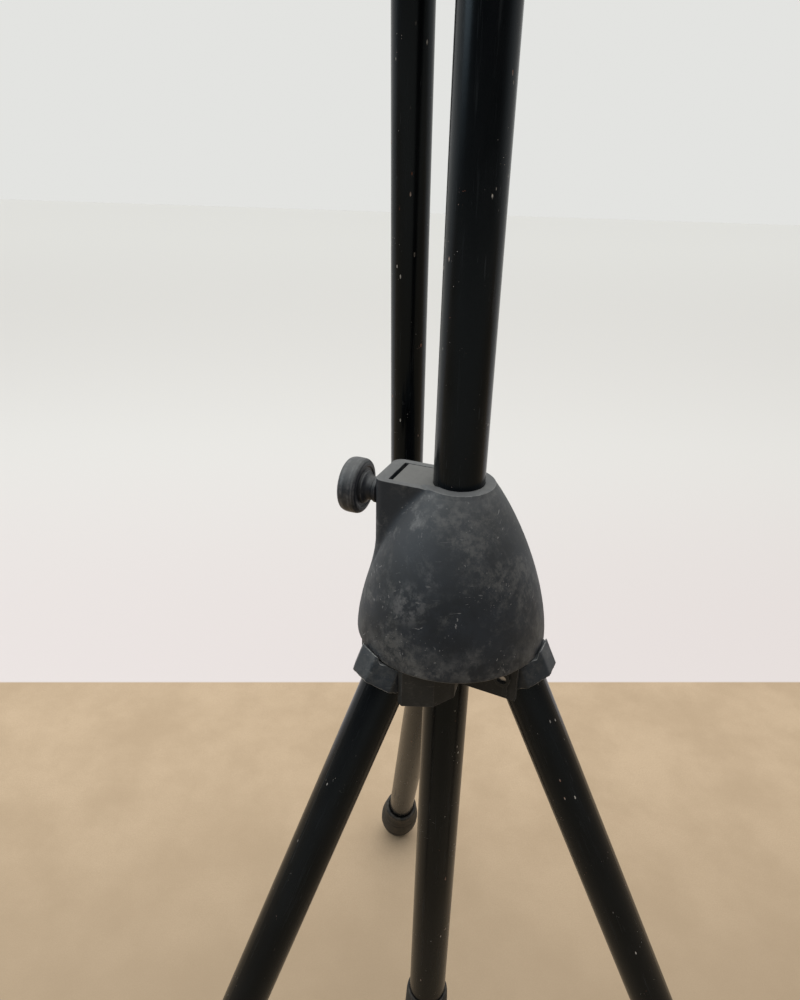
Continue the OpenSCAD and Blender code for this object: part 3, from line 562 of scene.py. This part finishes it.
def room():
    """A pale floor, a shade darker up to a straight line behind the stand, with painted shade graded over
    both, and soft light all round.
    """
    n, far, under = 3, 9000, 0.2
    x, y = np.meshgrid(np.linspace(-far, far, n), np.linspace(-far, far, n))
    pts = np.stack([x, y, 0 * x - under], -1).reshape(-1, 3) * MM
    at = np.arange(n * n).reshape(n, n)
    quads = np.stack([at[:-1, :-1], at[:-1, 1:], at[1:, 1:], at[1:, :-1]], -1).reshape(-1, 4)
    mesh = bpy.data.meshes.new("floor")
    mesh.from_pydata(pts.tolist(), [], quads.tolist())
    floor = bpy.data.objects.new("floor", mesh)
    bpy.context.collection.objects.link(floor)
    c = Coat("floor")
    back = (-0.1245, 0.9922, 0)
    deep = c.add("VectorMath", {"operation": "DOT_PRODUCT"}, {0: c.place, 1: back}, "Value")
    tint = deep.over(0.535, 0.539)
    grit = c.noise(700, 3, 0.7)
    patch = c.noise(9, 5, 0.6)
    tan = c.mix(patch.over(0.3, 0.7), (0.50, 0.375, 0.255), (0.42, 0.31, 0.205))
    tan = c.mix(grit.over(0.35, 0.65) * 0.35, tan, (0.32, 0.235, 0.15))
    # Painted shade: the tan floor darkens towards the front of the stand, and far in front it turns paler
    # again.
    tan = c.mix(1 - deep.over(-0.25, 0.5), tan, (0.30, 0.225, 0.15))
    tan = c.mix(1 - deep.over(-2.4, -0.7), tan, (0.50, 0.44, 0.38))
    # Painted shade: the pale floor is darker near the line and grows lighter further back, evening out how
    # the lamps' light falls off over it.
    pale = c.mix(deep.over(0.5, 1.7), (0.60, 0.55, 0.545), (0.645, 0.63, 0.615))
    pale = c.mix(deep.over(1.7, 6.5), pale, (0.705, 0.70, 0.685))
    base = c.mix(tint, tan, pale)
    mesh.materials.append(c.finish(base, 0.85, Specular_IOR_Level=0.2))

    world = bpy.data.worlds.new("room")
    bpy.context.scene.world = world
    world.use_nodes = True
    w = Coat.__new__(Coat)
    w.tree = world.node_tree
    w.tree.nodes.clear()
    way = w.add("TexCoord", {}, {}, "Generated")
    y = w.add("SeparateXYZ", {}, {0: way}, "Y")
    z = w.add("SeparateXYZ", {}, {0: way}, "Z")
    x = w.add("SeparateXYZ", {}, {0: way}, "X")
    light = (0.09 + y.over(-0.45, 0.25) * 0.88) * (1 - x.over(0.1, 0.85) * 0.3) + z.over(0.35, 0.95) * 0.9
    seen = w.add("LightPath", {}, {}, "Is Camera Ray")
    power = light * (1 - seen) + seen * 0.78
    bg = w.add("Background", {}, {"Color": (0.985, 0.99, 0.965), "Strength": power})
    out = w.tree.nodes.new("ShaderNodeOutputWorld")
    w.tree.links.new(bg.socket, out.inputs[0])


def soft_box(name, at, aim, size, power, tint=(1, 1, 1)):
    data = bpy.data.lights.new(name, "AREA")
    data.shape, data.size, data.size_y = "RECTANGLE", size[0], size[1]
    data.energy, data.color = power, tint
    lamp = bpy.data.objects.new(name, data)
    lamp.location = at
    lamp.rotation_euler = (Vector(aim) - Vector(at)).to_track_quat("-Z", "Y").to_euler()
    bpy.context.collection.objects.link(lamp)


room()
soft_box("window_left", (-2.2, -0.7, 1.9), (0, 0, 0.7), (1.2, 1.8), 21, (0.84, 0.95, 1.0))
soft_box("ceiling", (0.3, -0.3, 3.2), (0, 0, 0.5), (2.2, 2.2), 30)


# ---------------------------------------------------------------- pieces: hub

# The dome, the clamp arm, the keyhole in its top and the bore for the post. Depths count down from the
# hub's top.
DOME_TOP_R, DOME_GROW, DOME_DEEP, WALL = 20.5, 38.1, 99, 3
ARM_FAR, ARM_HALF, ARM_CORNER, ARM_DROP = 46.5, 17.5, 6, 1.0
SLOT_FAR, SLOT_HALF, SLOT_DEEP = 38.8, 13, 28.5
BORE, ROOF_DEEP = 15.05, 30
SCREW_DEEP = 15.7


def waves(phi, seed, counts=(3, 7, 11, 17, 23, 31)):
    """A wavering line over one turn: twice the mean of sines of whole counts with seeded phases."""
    start = np.random.default_rng(seed).uniform(0, TAU, len(counts))
    return sum(np.sin(k * phi + p) for k, p in zip(counts, start)) / len(counts) * 2


def dome(deep):
    """Radius of the dome at a depth: its top radius, plus its growth times the 0.9th power of
    1 - (1 - depth / full depth) ^ 1.6."""
    return DOME_TOP_R + DOME_GROW * (1 - (1 - np.clip(deep / DOME_DEEP, 0, 1)) ** 1.6) ** 0.9


def arm_reach(phi):
    """Distance from the post's axis to the arm's outside, a box with round corners, in each direction."""
    u = np.abs((phi + math.pi) % TAU - math.pi)
    c, s = np.cos(u), np.maximum(np.sin(u), 1e-6)
    cx, cy = ARM_FAR - ARM_CORNER, ARM_HALF - ARM_CORNER
    along = c * cx + s * cy
    bend = along + np.sqrt(np.maximum(along ** 2 - cx ** 2 - cy ** 2 + ARM_CORNER ** 2, 0))
    r = np.where(u < math.atan2(cy, ARM_FAR), ARM_FAR / np.maximum(c, 1e-6), bend)
    r = np.where(u > math.atan2(ARM_HALF, cx), ARM_HALF / s, r)
    return np.where(u < math.pi / 2, r, 0)


def slot_reach(phi):
    """Distance from the post's axis to the wall of the keyhole: the bore, or the slot where that is
    further."""
    u = np.abs((phi + math.pi) % TAU - math.pi)
    c, s = np.maximum(np.cos(u), 1e-6), np.maximum(np.sin(u), 1e-6)
    r = np.minimum(SLOT_FAR / c, SLOT_HALF / s)
    return np.where(u < math.pi / 2, np.maximum(r, BORE), BORE)


def hub_cover():
    """For each direction one closed profile: the flat top from the keyhole out, the outside, which is the
    smooth larger of dome and arm at each depth, the rim, the inside one wall under it, and the keyhole."""
    arm_turns = np.arctan2([ARM_HALF - ARM_CORNER, ARM_HALF], [ARM_FAR, ARM_FAR - ARM_CORNER])
    turns = [math.atan2(SLOT_HALF, SLOT_FAR), math.asin(SLOT_HALF / BORE), *arm_turns]
    phi = np.unique(np.round(np.concatenate([turn(420), turns, TAU - np.array(turns)]), 5))
    arm, key = arm_reach(phi), slot_reach(phi)

    def out(deep):
        return smooth_max(dome(deep), arm, 3.0 + 2 * rise(deep, 0, 30))

    def top(r):
        return -ARM_DROP * rise(r, 20.9, 22.6)

    edge, low = out(0.6), dome(DOME_DEEP)
    chip = 0.7 + 0.35 * np.maximum(waves(phi, 4), 0)
    flat = [key + (edge - key) * t for t in np.linspace(0.1, 0.9, 12)]
    deeps = 1.9 + (DOME_DEEP - 4.5) * np.linspace(0, 1, 46) ** 1.25
    corners = [(key, top(key), 0.5), *((r, top(r)) for r in flat), (edge, top(edge), 1.3)]
    corners += [(out(d), -d) for d in deeps]
    corners += [(low, -DOME_DEEP, chip), (low - WALL, -DOME_DEEP, 0.8)]
    corners += [(dome(d) - WALL, -d) for d in np.linspace(95, 34, 14)]
    corners += [(dome(ROOF_DEEP) - WALL, -ROOF_DEEP, 1.2), (BORE, -ROOF_DEEP, 0.3), (BORE, 1 - ROOF_DEEP)]
    corners += [(key + 0.01, -SLOT_DEEP), (key, 1 - SLOT_DEEP)]
    verts, faces, worn = swept(corners, phi, POST + (0, 0, HUB_TOP), (0, 0, 1), ARM, True, 5)
    make("hub_shell", verts, faces, hub_plastic, "hub", "hub_cover", worn, 32)


hub_cover()

SCREW_LINE = POST + (0, 0, HUB_TOP - SCREW_DEEP)
KNOB = [
    (4.0, 49.5), (7.6, 49.5, 0.5), (8.3, 50.3, 0.4), (8.3, 51.9, 0.4), (7.4, 52.7, 0.4), (7.4, 55.9, 0.8),
    (8.6, 57.1, 0.4), (10.2, 58.1, 0.5), (10.2, 59.9, 0.3), (12.4, 59.9, 0.3), (12.8, 59.2, 0.3),
    (14.6, 59.2, 0.4), (16.2, 59.9, 0.8), (17.1, 61.4, 1.0), (17.2, 63.5, 1.0), (17.2, 68.2, 2.4),
    (16.2, 71.0, 1.8), (13.4, 71.6, 1.0), (12.6, 71.3, 0.4), (4.0, 71.6, 2.0), (0.3, 71.6),
]
turned("clamp_knob_drum", KNOB, SCREW_LINE, ARM, knob_plastic, "clamp_knob", "clamp_knob", "knob_plastic",
       144, front=(0, 0, 1), steps=5)

# ---------------------------------------------------------------- pieces: legs


def leg_way(side):
    """Outward direction of a leg, level, and the direction up along its tube."""
    around = PIVOT[side][0] - POST
    flat = np.array([around[0], around[1], 0]) / np.hypot(around[0], around[1])
    return flat, -flat * math.sin(SPREAD) + np.array([0, 0, math.cos(SPREAD)])


SLEEVE_SIDES = [(0, 22.6), (42, 21.34), (-42, 21.34), (90, 18.5), (-90, 18.5), (180, 16.5)]
SLEEVE_LOW = -11
TUBE_R = 14.05


def sleeve_top(x, y):
    """Height of the sleeve's top over its outward distance x: a notch that clears the hub's rim, then a
    lip. At the corners, where |y| passes 11 to 14, the notch stays low."""
    mid = np.interp(x, [-20, 9.2, 12, 13.2, 19.9, 21.6, 23], [11, 11, 7.3, 5.2, 2.8, 6.4, 6.0])
    low = np.interp(x, [-20, 9.2, 10.6, 23], [11, 11, 3.8, 3.2])
    side = rise(np.abs(y), 11, 14)
    return mid * (1 - side) + low * side


def leg_sleeve(side, seed):
    """A block round the leg: its outline's radius is the p-norm of its sides, carried up from the lower
    face to sleeve_top, with nicks along the lower edge, and bored for the tube."""
    flat, up = leg_way(side)
    phi = turn(300)
    wall = outline(phi, SLEEVE_SIDES, 70)
    nick = 0.5 + 1.1 * np.maximum(waves(phi, seed) - 0.25, 0)
    nick = nick + 0.5 * np.maximum(waves(phi, seed + 9, (19, 29, 37, 47)) - 0.3, 0)

    def top(r):
        return sleeve_top(r * np.cos(phi), r * np.sin(phi))

    corners = [(TUBE_R, 4.2), (TUBE_R, SLEEVE_LOW, 0.5), (wall, SLEEVE_LOW, nick)]
    corners += [(wall, z) for z in np.linspace(-8.6, 1.6, 8)]
    corners += [(wall, top(wall), 0.6)]
    corners += [(wall * t, top(wall * t)) for t in np.linspace(0.97, 0.03, 38)]
    verts, faces, worn = swept(corners, phi, PIVOT[side][0], up, flat, False, 5)
    make("sleeve_block_" + side, verts, faces, slate_plastic, side + "_leg", "sleeve_" + side,
         worn, 30)


def leg_foot(side):
    """A rubber cup turned round the tube's line, with a rim at its mouth and grooves; what would be under
    the floor is pressed flat onto it."""
    flat, up = leg_way(side)
    end = np.array(PIVOT[side][0]) - up * LEG_LEN
    corners = [(FOOT_R * math.sin(a), -FOOT_R * math.cos(a)) for a in np.linspace(0.04, math.pi / 2, 16)]
    groove = [(1.6, 8), (2.2, 13, 0.4), (1.6, 14, 0.4), (1.6, 15.2, 0.4), (2.4, 16.4, 0.5), (2.3, 30),
              (1.6, 38), (1.1, 42, 0.3), (0.5, 43, 0.4), (0.4, 44.2, 0.4), (0.6, 45.4, 0.4),
              (-0.8, 54, 1.0), (-1.3, FOOT_LEN - 5, 1.0), (-1.6, FOOT_LEN - 1.5, 1.0),
              (-3.2, FOOT_LEN, 0.8)]
    corners += [(FOOT_R + more, *rest) for more, *rest in groove]
    corners += [(15.4, FOOT_LEN - 0.1, 0.3), (14.1, FOOT_LEN - 1.6, 0.5), (TUBE_R, FOOT_LEN - 6),
                (0.3, FOOT_LEN - 8)]
    verts, faces, worn = swept(corners, turn(96), end, up, flat, False, 4, flat_at=0)
    make("rubber_foot_" + side, verts, faces, old_rubber, side + "_leg", "foot_" + side,
         worn)


for k, side in enumerate(PIVOT):
    leg_sleeve(side, 20 + k)
    leg_foot(side)

# ---------------------------------------------------------------- pieces: post and boom

END_CAP = [
    (12, 0, 0.4), (17, 0, 1.4), (18.6, 2.2, 1.2), (18.8, 8), (18.0, 9.2, 0.4), (18.0, 10.2, 0.4),
    (18.6, 11.4, 0.5), (18.2, 24), (17.6, 25.2, 0.4), (17.6, 26.2, 0.4), (18.0, 27.4, 0.5), (17.5, 40, 0.5),
    (17.2, 43.5, 0.8), (16.4, 46, 0.6), (15.05, 46, 0.2), (15.02, 44.0),
]
turned("post_end_cap", END_CAP, POST + (0, 0, span("post_foot")[0][2]), (0, 0, 1), old_rubber, "post",
       "post_foot", "foot_rubber", 96)


def clutch_grip():
    """The turning ring of the post's clutch: twelve ribs, each a power of a cosine round the ring, on a
    turned sleeve that narrows to the inner tube."""
    low = span("clutch_ring")[0][2]
    tube = (span("post_inner")[1] - span("post_inner")[0])[0] / 2
    n, ribs = 240, 12
    rib = 1.3 * (0.5 + 0.5 * np.cos(ribs * turn(n))) ** 3
    corners = [
        (17.5, 0, 0.4), (22.0, 0, 1.0), (23.4, 1.8, 0.8), (23.5, 3.4), (23.5 + rib, 5.2, 0.8),
        (23.4 + rib, 14), (23.2 + rib, 25.4, 0.9), (23.1, 27.6, 0.6), (22.9, 29, 0.5),
        (21.4, 33.6, 1.4), (18.6, 38.3, 1.4), (17.2, 39.6, 0.6), (tube + 0.5, 39.6, 0.4),
        (tube + 0.5, 30), (17.5, 27),
    ]
    turned("clutch_grip", corners, POST + (0, 0, low), (0, 0, 1), head_plastic, "clutch_ring",
           "clutch_ring", "clamp_plastic", n, closed=True)


def wing_knob():
    """The boom's wing knob: a turned grip whose outline is the smooth larger of a circle and two lobes,
    each a circle of lobe_r set lobe_out from the middle."""
    n, round_r, lobe_r, lobe_out = 180, 12.5, 6, 16
    phi = turn(n)
    c, s = np.abs(np.cos(phi)), np.sin(phi)
    reach = lobe_out * c + np.sqrt(np.maximum(lobe_r ** 2 - lobe_out ** 2 * s * s, 0))
    wing = smooth_max(round_r, np.where(np.abs(s) < lobe_r / lobe_out, reach, 0), 4)
    corners = [
        (4.1, 0), (8.5, 0, 0.4), (9.0, 1.0, 0.4), (9.0, 4.0, 1.2), (11.4, 7.2, 0.6), (wing - 0.8, 8.0, 0.4),
        (wing, 8.9, 0.8), (wing, 17.6, 1.6), (wing - 2.0, 19.2, 1.2), (8.0, 20.3, 2.0), (6.0, 20.0, 0.4),
        (0.3, 20.0),
    ]
    inner = (span("swivel_knob")[1][0], SWIVEL[1], SWIVEL[2])
    turned("wing_knob", corners, inner, (-1, 0, 0), head_plastic, "swivel_knob", "swivel_knob",
           "clamp_plastic", n, front=(0, 0, 1))


clutch_grip()
wing_knob()

# ---------------------------------------------------------------- CAD nodes kept

PLAIN = {
    black_post: ["post_outer"],
    black_boom: ["boom_tube"],
    core_plastic: ["hub_core"],
    shoe_plastic: ["clamp_shoe"],
    old_rubber: ["boom_cap"],
    head_plastic_cad: ["clutch_body", "swivel_bracket", "boom_clamp"],
    pale_plastic: ["clutch_collet", "inner_guide", "tip_plug"],
    steel: ["cover_screws", "clamp_nut", "clamp_screw", "hinge_pins", "swivel_bolt", "tip_stud", "tip_disc",
            "cam_hinge_pin", "cam_port", "cam_screws"],
    bright_tube: ["post_inner"],
    brass: ["cam_insert"],
    fibre: ["swivel_washer"],
    case_plastic_cad: ["cam_base", "cam_neck", "cam_rear", "cam_front", "lens_ring", "lens_barrel"],
    fascia: ["cam_glass"],
    shutter_coat: ["cam_shutter"],
    lens_coat: ["lens_glass"],
    chip_coat: ["cam_sensor"],
    lamp_coat: ["cam_led"],
    board: ["cam_board"],
}
for coat, names in PLAIN.items():
    dress(coat, *names)
for side in PIVOT:
    dress(tube_paint("black_paint_" + side, tuple(leg_way(side)[1])), "leg_" + side)
